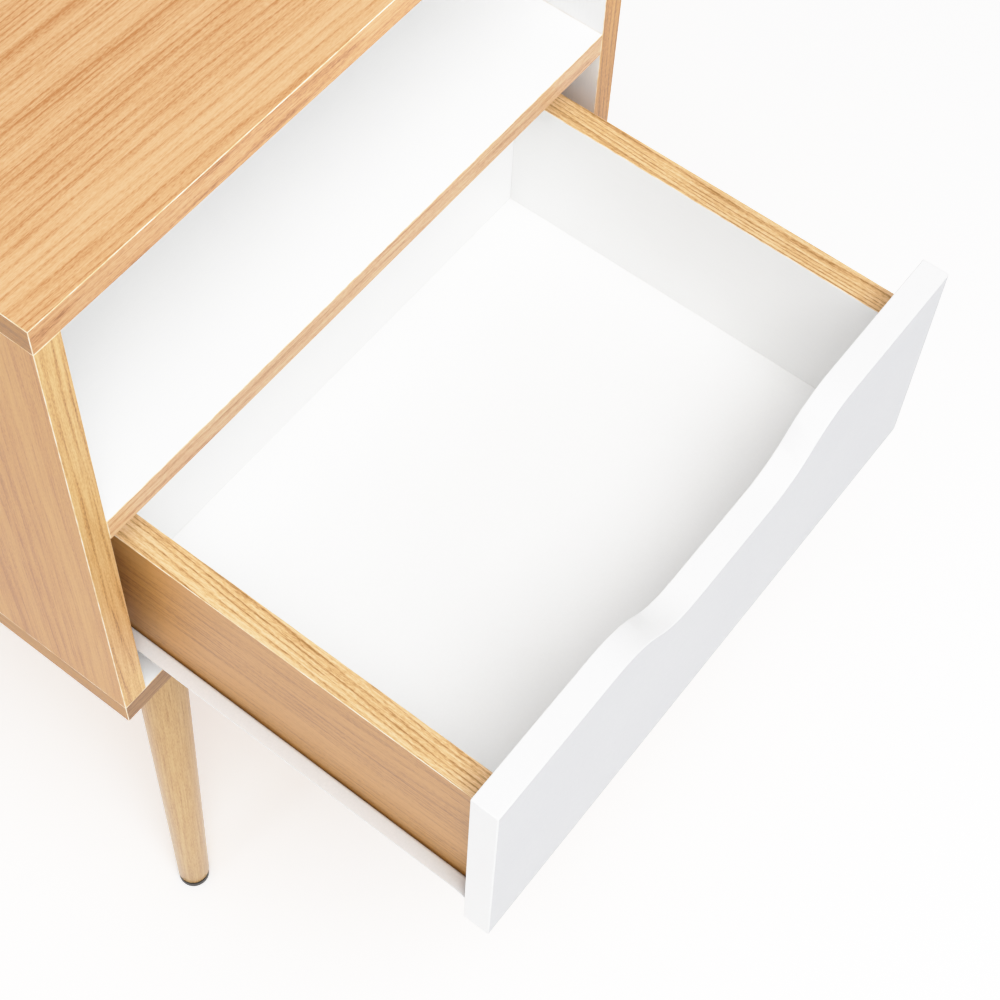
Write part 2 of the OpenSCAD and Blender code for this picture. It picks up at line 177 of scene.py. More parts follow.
# %% Pick, start and hand over
def clear():
    """Leaves edit mode and deselects every object."""
    if bpy.context.object and bpy.context.object.mode == "EDIT":
        bpy.ops.object.mode_set(mode="OBJECT")
    for thing in bpy.context.view_layer.objects:
        thing.select_set(False)


def take(piece):
    """Makes piece the only selected object, and the active one."""
    clear()
    piece.select_set(True)
    bpy.context.view_layer.objects.active = piece
    return piece


def pick(piece, test, kind="faces"):
    """Enters edit mode with only those faces, or edges, selected whose centre and direction pass."""
    mesh = take(piece).data
    for part in (mesh.vertices, mesh.edges, mesh.polygons):
        part.foreach_set("select", [False] * len(part))
    if kind == "faces":
        for face in mesh.polygons:
            face.select = bool(test(face.center, face.normal))
    else:
        for edge in mesh.edges:
            a, b = (mesh.vertices[i].co for i in edge.vertices)
            edge.select = bool(test((a + b) / 2, (b - a).normalized()))
    bpy.context.tool_settings.mesh_select_mode = (False, kind == "edges", kind == "faces")
    bpy.ops.object.mode_set(mode="EDIT")


def pick_all(piece, kind="faces"):
    pick(piece, lambda middle, direction: True, kind)


def start(name):
    """Names the primitive that was just added and puts its place into its mesh."""
    piece = bpy.context.object
    piece.name = piece.data.name = name
    bpy.ops.object.transform_apply(location=True, rotation=True, scale=True)
    return piece


def near(a, b, gap=0.02 * MM):
    return abs(a - b) < gap


def move(x=0, y=0, z=0):
    """Extrudes what is selected by that much."""
    bpy.ops.mesh.extrude_region_move(TRANSFORM_OT_translate={"value": (x, y, z)})


def boolean(piece, cutter):
    """Cuts cutter out of piece and throws the cutter away."""
    take(piece)
    cut = piece.modifiers.new("cut", "BOOLEAN")
    cut.operation = "DIFFERENCE"
    cut.solver = "EXACT"
    cut.object = cutter
    bpy.ops.object.modifier_apply(modifier=cut.name)
    bpy.data.objects.remove(cutter)


def join(pieces, name):
    """Joins pieces into one object."""
    clear()
    for piece in pieces:
        piece.select_set(True)
    bpy.context.view_layer.objects.active = pieces[0]
    bpy.ops.object.join()
    made = bpy.context.object
    made.name = made.data.name = name
    return made


def smooth(piece, degrees=35):
    take(piece)
    bpy.ops.object.shade_smooth_by_angle(angle=math.radians(degrees))


def hand_over(piece, body, slot, *nodes):
    """Rides piece on body and hides the CAD nodes that it stands for; slot is not used."""
    clear()
    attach(piece, body)
    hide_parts(*nodes)
    size = [round(side / MM, 1) for side in piece.dimensions]
    print(f"{piece.name}: {size} mm, {len(piece.data.polygons)} faces, rides on {body}")


# %% [markdown]
# ## How a finish is written
#
# Colours are given as sRGB hex values, the numbers on a paint card, and `paint` turns them into the
# linear light that shaders use. `add` adds one node with its settings, values and links, so a material
# reads from top to bottom as the steps that make it. Pattern sizes are given in real millimetres:
# `per` turns a size into a texture scale.


# %% Paint, nodes and scales
def paint(code):
    """An sRGB hex value as linear colour."""
    parts = [int(code[i : i + 2], 16) / 255 for i in (1, 3, 5)]
    return (*[c / 12.92 if c <= 0.04045 else ((c + 0.055) / 1.055) ** 2.4 for c in parts], 1.0)


def per(size_mm):
    """The scale of a texture whose pattern is that many millimetres across."""
    return 1 / (size_mm * MM)


def add(tree, kind, values=None, links=None, **settings):
    """A new node with its own settings, the values of its free inputs and the links to the others."""
    made = tree.nodes.new("ShaderNode" + kind)
    for name, value in settings.items():
        setattr(made, name, value)
    for name, value in (values or {}).items():
        made.inputs[name].default_value = value
    for name, source in (links or {}).items():
        tree.links.new(source, made.inputs[name])
    return made


def ramp(tree, source, stops):
    """A colour ramp over source, through (place, colour) stops."""
    made = add(tree, "ValToRGB", links={"Fac": source})
    for place, colour in stops[1:-1]:
        made.color_ramp.elements.new(place)
    for stop, (place, colour) in zip(made.color_ramp.elements, stops):
        stop.position = place
        stop.color = colour
    return made


def new_finish(name, **values):
    """A material and its node tree and shader, with values on the shader's own sockets."""
    made = bpy.data.materials.new(name)
    made.use_nodes = True
    tree = made.node_tree
    shader = tree.nodes["Principled BSDF"]
    for socket, value in values.items():
        shader.inputs[socket.replace("_", " ")].default_value = value
    return made, tree, shader


def grey(value):
    return (value, value, value, 1.0)


print("white is", [round(c, 3) for c in paint("#F6F6F5")], "in linear light")

# %% [markdown]
# ## Oak paper under melamine
#
# The brown faces are chipboard with a printed oak paper pressed under clear melamine resin. It gives
# the eye a flat-sawn oak figure: long curved growth lines that spread from a centre, broad lighter and
# darker stripes, short fine fibres and dark pores, all under a low silky gloss. The figure could be
# drawn as stripes. Here it is cut from an imagined log instead: each point's distance from a leaning
# axis says in which year's ring it lies, so the board's plane slices the rings as a saw does.


# %% The oak finish
def oak(name, along, light, middle, dark, line_mm, pith, lean, lines, source="Object"):
    """Oak with its grain along one axis: line_mm and lines are the rings' spacing and strength, pith and
    lean place the log, and source names the attribute that the pattern reads, if not the object's place."""
    finish, tree, shader = new_finish(name, Roughness=0.42, IOR=1.5)
    axis = "XYZ".index(along)
    if source == "Object":
        place = add(tree, "TexCoord").outputs["Object"]
    else:
        place = add(tree, "Attribute", attribute_name=source).outputs["Vector"]
    from_pith = add(tree, "Mapping", {"Location": [-c for c in pith]}, {"Vector": place}).outputs["Vector"]
    long, short, tilt = [1.0] * 3, [1.0] * 3, [0.0] * 3
    long[axis] = 1 / 30
    short[axis] = 1 / 7
    tilt[(axis + 1) % 3] = math.radians(lean[0])
    tilt[(axis + 2) % 3] = math.radians(lean[1])
    grain = add(tree, "Mapping", {"Scale": long}, {"Vector": from_pith}).outputs["Vector"]
    fleck = add(tree, "Mapping", {"Scale": short}, {"Vector": from_pith}).outputs["Vector"]
    log = add(tree, "Mapping", {"Rotation": tilt}, {"Vector": from_pith}).outputs["Vector"]
    for size, sway in ((40, 14 * MM), (7, 0.8 * MM)):
        bend = add(tree, "TexNoise", {"Scale": per(size), "Detail": 1.0}, {"Vector": fleck})
        swayed = {0: bend.outputs["Color"], 2: log}
        log = add(tree, "VectorMath", {1: [sway] * 3}, swayed, operation="MULTIPLY_ADD").outputs[0]
    flat = add(tree, "VectorMath", {1: [axis != i for i in range(3)]}, {0: log}, operation="MULTIPLY")
    radius = add(tree, "VectorMath", links={0: flat.outputs[0]}, operation="LENGTH").outputs["Value"]
    stripes = add(tree, "TexNoise", {"Scale": per(20), "Detail": 4.0}, {"W": radius}, noise_dimensions="1D")
    years = add(tree, "TexNoise", {"Scale": per(13), "Detail": 1.0}, {"W": radius}, noise_dimensions="1D")
    uneven = add(tree, "Math", {1: 9 * MM}, {0: years.outputs["Fac"], 2: radius}, operation="MULTIPLY_ADD")
    count = add(tree, "Math", {1: per(line_mm)}, {0: uneven.outputs[0]}, operation="MULTIPLY")
    ring = add(tree, "Math", links={0: count.outputs[0]}, operation="FRACT")
    late_wood = [(0.0, grey(0.05)), (0.5, grey(0.12)), (0.88, grey(1)), (1.0, grey(0.05))]
    late = ramp(tree, ring.outputs[0], late_wood)
    fibres = add(tree, "TexNoise", {"Scale": per(1.0), "Detail": 3.0}, {"Vector": grain})
    flecks = add(tree, "TexNoise", {"Scale": per(0.35), "Detail": 2.0}, {"Vector": fleck})
    parts = ((1.1, 0.5, stripes), (lines, 0.32, late), (1.1, 0.5, fibres), (1.2, 0.5, flecks))
    tone = add(tree, "Value")
    tone.outputs[0].default_value = 0.5 - sum(share * mean for share, mean, part in parts)
    for share, mean, part in parts:
        tone = add(
            tree, "Math", {1: share}, {0: part.outputs[0], 2: tone.outputs[0]}, operation="MULTIPLY_ADD"
        )
    colour = ramp(tree, tone.outputs[0], [(0.1, paint(light)), (0.5, paint(middle)), (0.95, paint(dark))])
    tree.links.new(colour.outputs["Color"], shader.inputs["Base Color"])
    pores = {"Strength": 0.12, "Distance": 0.15 * MM}
    press = add(tree, "Bump", pores, {"Height": flecks.outputs["Fac"]}, invert=True)
    tree.links.new(press.outputs["Normal"], shader.inputs["Normal"])
    return finish


# %% [markdown]
# Three oak papers are printed for the three grain directions: along X on the top and bottom, upright on
# the sides, and along Y on the drawer. The side and drawer papers have darker colours than the top's,
# which are painted shade for the faces that look to the side. The log's centre sits just outside each
# board, so that the figure opens into long arches near it and closes into straight lines further off.

# %% Oak faces
oak_top = oak("oak_laminate_top", "X", "#E5B587", "#D8A571", "#B87C45", 3.4, (0, -0.1, 0.69), (4, 0), 0.38)
# The side and drawer colours are darker than the top's: painted shade for faces that look sideways.
oak_side_painted_shade = oak("oak_laminate_side_painted_shade", "Z", "#D49E53", "#C78D46", "#A96B2D", 5, (-0.27, -0.1, 0.4), (3, 2), 0.24)
oak_drawer_painted_shade = oak(
    "oak_laminate_drawer_painted_shade", "Y", "#CB9453", "#C18B48", "#9C662E", 4, (-0.23, 0, 0.42), (2, 1), 0.26
)
print("oak faces:", oak_top.name, oak_side_painted_shade.name, oak_drawer_painted_shade.name)

# %% [markdown]
# ## Edge bands
#
# The narrow edges carry a strip of the same printed paper, 0.4 mm thick and ironed on. It is cut from
# another part of the print, so its colour is more golden and its streaks run along the strip. The bands
# differ in tone from edge to edge. Three are darker copies, which are painted shade: the band on the right
# side's front edge, the bands on the ends of the top and bottom, and the band on the bottom's front edge.
# The band's trimmed corner shows as a pale line along each arris, which is the unprinted resin.

# %% The bands and their trimmed corners
band_x = oak("oak_band_x", "X", "#D8A97A", "#CA935D", "#965F31", 3, (0, -0.09, 0.6), (1, 1), 0.36)
band_y = oak("oak_band_y", "Y", "#F0CA9D", "#DCAE76", "#A07239", 3, (-0.22, 0, 0.44), (1, 1), 0.5)
band_z = oak("oak_band_z", "Z", "#E2B97E", "#CF9F5F", "#946432", 3, (-0.24, -0.08, 0.4), (1, 1), 0.36)
# The right side's front band is a darker copy: painted shade.
band_right_painted_shade = oak("oak_band_right_painted_shade", "Z", "#D7A25B", "#C58B45", "#8D5824", 3, (0.24, -0.08, 0.4), (1, 1), 0.36)
band_shelf = oak("oak_band_shelf", "X", "#E5C397", "#DBAA7D", "#B27B4D", 3.5, (0, -0.09, 0.43), (1, 1), 0.3)
# The ends of the top and bottom get a darker copy: painted shade.
band_end_painted_shade = oak("oak_band_end_painted_shade", "Y", "#BB8329", "#AC721E", "#824D0E", 3, (-0.27, 0, 0.6), (1, 1), 0.36)
# The bottom's front edge gets a darker copy: painted shade.
band_low_painted_shade = oak("oak_band_low_painted_shade", "X", "#A87C49", "#916433", "#663F19", 3, (0, -0.09, 0.26), (1, 1), 0.36)
trim, trim_tree, trim_shader = new_finish("melamine_band_trimmed", Roughness=0.35)
trim_place = add(trim_tree, "TexCoord").outputs["Object"]
nicks = add(trim_tree, "TexNoise", {"Scale": per(9), "Detail": 4.0}, {"Vector": trim_place})
trim_tone = ramp(trim_tree, nicks.outputs["Fac"], [(0.38, paint("#EBC998")), (0.6, paint("#FFF0D8"))])
trim_tree.links.new(trim_tone.outputs["Color"], trim_shader.inputs["Base Color"])
print("bands:", [m.name for m in (band_x, band_y, band_z, band_shelf, band_end_painted_shade, band_low_painted_shade)])

# %% [markdown]
# ## White boards
#
# Inside, the same chipboard is pressed with plain white melamine. Its face has a faint wood texture from
# the press plate, far finer than the colour shows, so it is only a bump that stretches along the grain.
# The drawer front has a smoother white foil with a soft orange-peel surface. Its grey colour is painted
# shade: the foil is a greyer copy of the bright white band on its edges, so the face looks darker than the
# edge.


# %% The white finishes
def white(name, colour, shade, squeeze, grain_mm, depth_mm, roughness):
    """A white face with a faint pressed texture; squeeze stretches it along the grain."""
    finish, tree, shader = new_finish(name, Roughness=roughness, IOR=1.5)
    place = add(tree, "TexCoord").outputs["Object"]
    pressed = add(tree, "Mapping", {"Scale": squeeze}, {"Vector": place})
    plate = {"Scale": per(grain_mm), "Detail": 3.0}
    relief = add(tree, "TexNoise", plate, {"Vector": pressed.outputs["Vector"]})
    cloud = add(tree, "TexNoise", {"Scale": per(90), "Detail": 2.0}, {"Vector": place})
    both = add(tree, "Math", links={0: relief.outputs["Fac"], 1: cloud.outputs["Fac"]}, operation="ADD")
    tone = add(tree, "Math", {1: 0.5}, {0: both.outputs[0]}, operation="MULTIPLY")
    mix = ramp(tree, tone.outputs[0], [(0.35, paint(shade)), (0.65, paint(colour))])
    tree.links.new(mix.outputs["Color"], shader.inputs["Base Color"])
    press_depth = {"Strength": 0.25, "Distance": depth_mm * MM}
    press = add(tree, "Bump", press_depth, {"Height": relief.outputs["Fac"]})
    tree.links.new(press.outputs["Normal"], shader.inputs["Normal"])
    return finish


white_z = white("white_melamine_upright", "#FBFBFA", "#F6F6F6", (1, 1, 1 / 20), 0.9, 0.04, 0.38)
white_x = white("white_melamine_level", "#FCFCFB", "#FAFAFA", (1 / 20, 1, 1), 0.9, 0.04, 0.38)
white_y = white("white_melamine_drawer", "#FAFAF9", "#F7F7F6", (1, 1 / 20, 1), 0.9, 0.03, 0.4)
# The foil's grey colour is painted shade on the drawer front's faces.
foil_with_painted_shade = white("white_foil_front_painted_shade", "#D4D5D8", "#D0D1D5", (1, 1, 1), 2.2, 0.05, 0.45)
white_band = white("white_band_front", "#F9F9F9", "#F6F6F7", (1, 1, 1), 2.2, 0.03, 0.4)
lacquer = white("white_lacquer_hardboard", "#F9F9F8", "#F6F6F5", (1, 1, 1), 1.4, 0.05, 0.3)
print("white finishes:", [m.name for m in (white_z, white_x, white_y, foil_with_painted_shade, white_band, lacquer)])

# %% [markdown]
# ## Raw board
#
# Where an edge stays hidden it has no band, and the sawn chipboard shows: pressed flakes in several
# browns. The rear of the thin hardboard is brown pressed fibre with the fine screen mark of its press.


# %% Chipboard and hardboard
def flakes(name, colours, flake_mm, screen_mm=0.0):
    """Pressed wood: each Voronoi cell is one flake; a screen mark is added when its spacing is given."""
    finish, tree, shader = new_finish(name, Roughness=0.85)
    place = add(tree, "TexCoord").outputs["Object"]
    cells = add(tree, "TexVoronoi", {"Scale": per(flake_mm)}, {"Vector": place})
    pick_one = add(tree, "SeparateColor", links={"Color": cells.outputs["Color"]})
    last = len(colours) - 1
    stops = [(i / last, paint(code)) for i, code in enumerate(colours)]
    tone = ramp(tree, pick_one.outputs["Red"], stops)
    tree.links.new(tone.outputs["Color"], shader.inputs["Base Color"])
    if screen_mm:
        height = add(tree, "TexVoronoi", {"Scale": per(screen_mm), "Randomness": 0.1}, {"Vector": place})
    else:
        height = cells
    press = add(
        tree, "Bump", {"Strength": 0.4, "Distance": 0.1 * MM}, {"Height": height.outputs["Distance"]}
    )
    tree.links.new(press.outputs["Normal"], shader.inputs["Normal"])
    return finish


chipboard = flakes("chipboard_sawn", ["#8E6B45", "#B8905F", "#D8B98A", "#C7A06D"], 1.6)
fibre = flakes("hardboard_pressed", ["#8A6440", "#946D47", "#9E7750"], 0.9, 1.8)
print("raw boards:", chipboard.name, fibre.name)

# %% [markdown]
# ## Laminated boards
#
# Every board starts as a cube primitive at the size and place of its node. Its arrises get a small
# chamfer, as a trimming knife leaves. A groove is sunk by bisecting the face at the groove's sides and
# extruding the strip inwards. Bores for the cams are drilled with a cylinder as a cutter. Then each face
# gets the finish of the side that it looks to.

# %% Cut, groove and drill a board
ARRIS = 0.3 * MM
SIDES = {
    "-x": (-1, 0, 0),
    "+x": (1, 0, 0),
    "-y": (0, -1, 0),
    "+y": (0, 1, 0),
    "-z": (0, 0, -1),
    "+z": (0, 0, 1),
}


def board(name, node, arris=ARRIS):
    """A board of the node's size with trimmed arrises."""
    low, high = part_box(node)
    clear()
    bpy.ops.mesh.primitive_cube_add(size=1, location=(low + high) / 2, scale=high - low)
    made = start(name)
    pick_all(made, "edges")
    bpy.ops.mesh.bevel(offset=arris, segments=1, affect="EDGES")
    clear()
    return made


def groove(piece, side, low, high, depth):
    """Sinks the part of a face that lies between the corners low and high; side says which way it looks."""
    out = Vector(SIDES[side])
    for axis in range(3):
        if out[axis]:
            continue
        for edge in (low[axis], high[axis]):
            pick_all(piece)
            at, way = Vector(), Vector()
            at[axis], way[axis] = edge, 1
            bpy.ops.mesh.bisect(plane_co=at, plane_no=way)
    pick(
        piece,
        lambda middle, normal: normal.dot(out) > 0.99
        and all(out[i] or low[i] < middle[i] < high[i] for i in range(3)),
    )
    move(*(-depth * out))
    clear()


def drill(piece, side, at, radius, depth):
    """Bores a flat-bottomed hole into the face that looks to side."""
    out = Vector(SIDES[side])
    clear()
    bpy.ops.mesh.primitive_cylinder_add(
        vertices=40,
        radius=radius,
        depth=depth * 2,
        location=at,
        rotation=out.to_track_quat("Z", "Y").to_euler(),
    )
    boolean(piece, start("cutter"))


def dress(piece, arris, faces):
    """Gives each face the finish of the side that it looks to, and the arrises theirs."""
    for finish in (arris, *faces.values()):
        piece.data.materials.append(finish)
    for face in piece.data.polygons:
        face.material_index = 0
        for number, side in enumerate(faces):
            if face.normal.dot(Vector(SIDES[side])) > 0.95:
                face.material_index = number + 1


def solids(node):
    """The boxes of a CAD node's separate solids, read from a merged copy that is thrown away."""
    clear()
    copy = frame["nodes"][node].copy()
    copy.data = copy.data.copy()
    copy.parent = None
    scene.collection.objects.link(copy)
    take(copy)
    bpy.ops.object.mode_set(mode="EDIT")
    bpy.ops.mesh.select_all(action="SELECT")
    bpy.ops.mesh.remove_doubles(threshold=0.001 * MM)
    bpy.ops.mesh.separate(type="LOOSE")
    bpy.ops.object.mode_set(mode="OBJECT")
    boxes = []
    for part in list(bpy.context.selected_objects):
        corners = [Vector(c) for c in part.bound_box]
        boxes.append((corners[0], corners[6]))
        bpy.data.objects.remove(part)
    return sorted(boxes, key=lambda b: tuple(round(c, 5) for c in b[0]))


cams = solids("cam_locks")
print(len(cams), "cams, the first at", [round(c / MM, 1) for c in cams[0][0]])

# %% [markdown]
# ## The carcass
#
# The top lies over the sides and the bottom lies under them, so the front shows the ends of both as
# long lines. The back is a thin sheet in a groove that runs round all four boards, 10 mm in from their
# rear edges. The cams that pull the joints together are turned from inside: in the sides just under the
# top, and from below in the shelf.

# %% Top and bottom
SLIP = 0.1 * MM
GROOVE = 6 * MM
back_low, back_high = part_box("back_panel")
groove_low = back_low - Vector((SLIP, SLIP, SLIP))
groove_high = back_high + Vector((SLIP, SLIP, SLIP))

top_board = board("top_board", "top_panel")
groove(top_board, "-z", groove_low, groove_high, GROOVE)
dress(
    top_board,
    trim,
    {"+z": oak_top, "-z": white_x, "-y": band_x, "+y": band_x, "-x": band_end_painted_shade, "+x": band_end_painted_shade},
)
hand_over(top_board, "cabinet", "oak_laminate", "top_panel")

bottom_board = board("bottom_board", "bottom_panel")
groove(bottom_board, "+z", groove_low, groove_high, GROOVE)
dress(
    bottom_board,
    trim,
    {"+z": white_x, "-z": oak_top, "-y": band_low_painted_shade, "+y": chipboard, "-x": band_end_painted_shade, "+x": band_end_painted_shade},
)
hand_over(bottom_board, "cabinet", "oak_laminate", "bottom_panel")

# %% Sides with their cam bores
CAM_R = 7.5 * MM
CAM_DEPTH = 12 * MM
shelf_low, shelf_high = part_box("shelf_panel")
inner_x = shelf_high.x

# The right side takes the darker front band, which is painted shade.
for name, sign, band in (("left", -1, band_z), ("right", 1, band_right_painted_shade)):
    inner, outer = ("+x", "-x") if sign < 0 else ("-x", "+x")
    node = name + "_side_panel"
    side_low, side_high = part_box(node)
    side_board = board(name + "_side_board", node)
    strip_low = Vector((0, groove_low.y, side_low.z - 1))
    strip_high = Vector((0, groove_high.y, side_high.z + 1))
    groove(side_board, inner, strip_low, strip_high, GROOVE)
    for low, high in cams:
        at = (low + high) / 2
        if at.z > shelf_high.z and at.x * sign > 0:
            drill(side_board, inner, (sign * inner_x, at.y, at.z), CAM_R, CAM_DEPTH)
    dress(
        side_board,
        trim,
        {outer: oak_side_painted_shade, inner: white_z, "-y": band, "+y": chipboard, "-z": chipboard, "+z": chipboard},
    )
    hand_over(side_board, "cabinet", "oak_laminate", node)

# %% Shelf and back
shelf_board = board("shelf_board", "shelf_panel")
for low, high in cams:
    at = (low + high) / 2
    if at.z < shelf_high.z:
        drill(shelf_board, "-z", (at.x, at.y, shelf_low.z), CAM_R, CAM_DEPTH)
dress(
    shelf_board,
    trim,
    {"+z": white_x, "-z": white_x, "-y": band_shelf, "+y": chipboard, "-x": chipboard, "+x": chipboard},
)
hand_over(shelf_board, "cabinet", "white_laminate", "shelf_panel")

back_board = board("back_board", "back_panel", arris=SLIP)
dress(back_board, fibre, {"-y": lacquer})
hand_over(back_board, "cabinet", "white_hardboard", "back_panel")

# %% [markdown]
# ## The drawer front
#
# The front has no handle: its top edge dips in a soft wave that the fingers reach over. The wave is two
# arcs on each side, one hollow and one round, of the same radius, so they meet without a kink. The board
# could be cut by a curved cutter. Here it is bisected into upright strips, close together where the edge
# curves, and each cut's top edge is slid down to the wave, which keeps the mesh in clean strips.

# %% Shape the wave
DIP = 26 * MM
DIP_R = 48 * MM
DIP_HALF = 63 * MM  # from the middle to the middle of the slope
STRIPS = 18
front_low, front_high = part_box("drawer_front")
dip_run = math.sqrt(4 * DIP * DIP_R - DIP * DIP) / 2
dip_flat = DIP_HALF - dip_run
dip_end = DIP_HALF + dip_run


def dip(x):
    """How far the top edge lies below its ends at x."""
    out = abs(x)
    if out <= dip_flat:
        return DIP
    if out <= DIP_HALF:
        return DIP - DIP_R + math.sqrt(DIP_R**2 - (out - dip_flat) ** 2)
    return DIP_R - math.sqrt(DIP_R**2 - (dip_end - out) ** 2)


clear()
front_size = front_high - front_low
bpy.ops.mesh.primitive_cube_add(size=1, location=(front_low + front_high) / 2, scale=front_size)
front_board = start("front_board")
cuts = [sign * (dip_flat + 2 * dip_run * i / STRIPS) for sign in (-1, 1) for i in range(STRIPS + 1)]
for x in cuts:
    pick_all(front_board)
    bpy.ops.mesh.bisect(plane_co=(x, 0, 0), plane_no=(1, 0, 0))
for x in cuts:
    pick(
        front_board,
        lambda at, way: near(at.x, x) and near(at.z, front_high.z) and abs(way.y) > 0.9,
        "edges",
    )
    bpy.ops.transform.translate(value=(0, 0, -dip(x)))
print("wave: flat for", round(2 * dip_flat / MM, 1), "mm, then", round(2 * dip_run / MM, 1), "mm of slope")

# %% Round its arrises and groove it
pick(front_board, lambda at, way: False, "edges")
bpy.ops.mesh.edges_select_sharp(sharpness=math.radians(40))
bpy.ops.mesh.bevel(offset=0.6 * MM, segments=2, affect="EDGES")
floor_low, floor_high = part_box("drawer_bottom")
floor_cut_low = floor_low - Vector((SLIP, SLIP, SLIP))
floor_cut_high = floor_high + Vector((SLIP, SLIP, SLIP))
groove(front_board, "+y", floor_cut_low, floor_cut_high, GROOVE)
# The front's two faces take the grey foil, which is painted shade. Its edges take the white band.
dress(front_board, white_band, {"-y": foil_with_painted_shade, "+y": foil_with_painted_shade})
smooth(front_board, 20)
hand_over(front_board, "drawer", "white_laminate", "drawer_front")

# %% [markdown]
# ## The drawer box
#
# The sides are oak outside and on top, and white inside. The back stands between them, and the thin
# bottom slides in from behind, in a groove in the sides and the front, under the back. The front's inner
# face closes the box.

# %% Box boards
for name, sign in (("left", -1), ("right", 1)):
    inner, outer = ("+x", "-x") if sign < 0 else ("-x", "+x")
    node = f"drawer_{name}_side"
    box_low, box_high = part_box(node)
    box_side = board(f"{name}_box_side", node)
    strip_low = Vector((0, box_low.y - 1, floor_cut_low.z))
    strip_high = Vector((0, box_high.y + 1, floor_cut_high.z))
    groove(box_side, inner, strip_low, strip_high, GROOVE)
    dress(
        box_side,
        trim,
        {outer: oak_drawer_painted_shade, inner: white_y, "+z": band_y, "-z": chipboard, "-y": chipboard, "+y": chipboard},
    )
    hand_over(box_side, "drawer", "oak_laminate", node)

box_back = board("box_back", "drawer_back")
dress(box_back, white_x, {"-z": chipboard, "-x": chipboard, "+x": chipboard})
hand_over(box_back, "drawer", "white_laminate", "drawer_back")

box_floor = board("box_floor", "drawer_bottom", arris=SLIP)
dress(box_floor, fibre, {"+z": lacquer})
hand_over(box_floor, "drawer", "white_hardboard", "drawer_bottom")

# %% [markdown]
# ## The legs
#
# Each leg is turned from one piece of pale rubberwood, then lacquered. It tapers from the top to the
# floor and leans out along the diagonal, so its foot is sawn level. The grain runs along the leg, not
# straight up, so the mesh keeps an attribute with each point's place before the leg was leaned, and the
# wood reads that. A cone primitive gives the taper, a bisect cuts the foot level, and both rims are eased.

# %% Turned wood
leg_wood = oak(
    "rubberwood_turned", "Z", "#D1AE74", "#C59D62", "#AA7A43", 2.5, (0.05, 0.01, 0), (1, 1), 0.2, "grain"
)
leg_wood.node_tree.nodes["Principled BSDF"].inputs["Roughness"].default_value = 0.34
leg_wood.node_tree.nodes["Principled BSDF"].inputs["Coat Weight"].default_value = 0.3
PLACES = {"front_left": (-1, -1), "front_right": (1, -1), "rear_left": (-1, 1), "rear_right": (1, 1)}
LEAN = math.radians(12)
LEG_TOP_R = 15.9 * MM
LEG_FOOT_R = 9.2 * MM
BOSS = 9 * MM  # the plate's boss fills this length at the top
PAD = 4.2 * MM  # the glide's height
SPARE = 10 * MM  # the cone is this much too long until it is sawn level
leg_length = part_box("bottom_panel")[0].z / math.cos(LEAN)
taper = (LEG_TOP_R - LEG_FOOT_R) / leg_length

for number, (place, (sx, sy)) in enumerate(PLACES.items()):
    pad_low, pad_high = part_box("foot_pad_" + place)
    foot = (pad_low + pad_high) / 2
    foot.z = 0
    down = Vector((sx * math.sin(LEAN) / math.sqrt(2), sy * math.sin(LEAN) / math.sqrt(2), -math.cos(LEAN)))
    head = foot - down * leg_length
    clear()
    bpy.ops.mesh.primitive_cone_add(
        vertices=72,
        radius1=LEG_FOOT_R - SPARE * taper,
        radius2=LEG_TOP_R - BOSS * taper,
        depth=leg_length + SPARE - BOSS,
        location=head + down * (leg_length + SPARE + BOSS) / 2,
        rotation=(-down).to_track_quat("Z", "Y").to_euler(),
    )
    grain = bpy.context.object.data.attributes.new("grain", "FLOAT_VECTOR", "POINT")
    for vertex in bpy.context.object.data.vertices:
        grain.data[vertex.index].vector = vertex.co + Vector((0, 0, 0.3 * number))
    leg = start("leg_turned_" + place)
    pick_all(leg)
    bpy.ops.mesh.bisect(plane_co=(0, 0, PAD), plane_no=(0, 0, 1), use_fill=True, clear_inner=True)
    pick(leg, lambda at, way: False, "edges")
    bpy.ops.mesh.edges_select_sharp(sharpness=math.radians(50))
    bpy.ops.mesh.bevel(offset=0.7 * MM, segments=2, affect="EDGES")
    leg.data.materials.append(leg_wood)
    smooth(leg, 30)
    hand_over(leg, "cabinet", "solid_wood", "leg_" + place)

# %% [markdown]
# ## Foot pads
#
# A black polyethylene glide is nailed under each foot. It is a short cylinder as wide as the foot, with
# its lower rim rounded so that it slides.

# %% Black glides
glide, glide_tree, glide_shader = new_finish("polyethylene_moulded", Roughness=0.5)
glide_place = add(glide_tree, "TexCoord").outputs["Object"]
satin = add(glide_tree, "TexNoise", {"Scale": per(0.6), "Detail": 2.0}, {"Vector": glide_place})
glide_tone = ramp(glide_tree, satin.outputs["Fac"], [(0.3, paint("#1C1815")), (0.7, paint("#2A2521"))])
glide_tree.links.new(glide_tone.outputs["Color"], glide_shader.inputs["Base Color"])

for place in PLACES:
    node = "foot_pad_" + place
    pad_low, pad_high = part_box(node)
    middle = (pad_low + pad_high) / 2
    clear()
    bpy.ops.mesh.primitive_cylinder_add(
        vertices=48, radius=(pad_high.x - pad_low.x) / 2, depth=PAD, location=(middle.x, middle.y, PAD / 2)
    )
    pad = start("glide_" + place)
    pick(pad, lambda at, way: at.z < 0.1 * MM and abs(way.z) < 0.1, "edges")
    bpy.ops.mesh.bevel(offset=0.5 * MM, segments=3, affect="EDGES")
    pick(pad, lambda at, normal: normal.z < -0.99)
    bpy.ops.mesh.inset(thickness=2.5 * MM)
    bpy.ops.mesh.inset(thickness=0.6 * MM, depth=-0.4 * MM)
    clear()
    pad.data.materials.append(glide)
    smooth(pad, 40)
    hand_over(pad, "cabinet", "black_plastic", node)

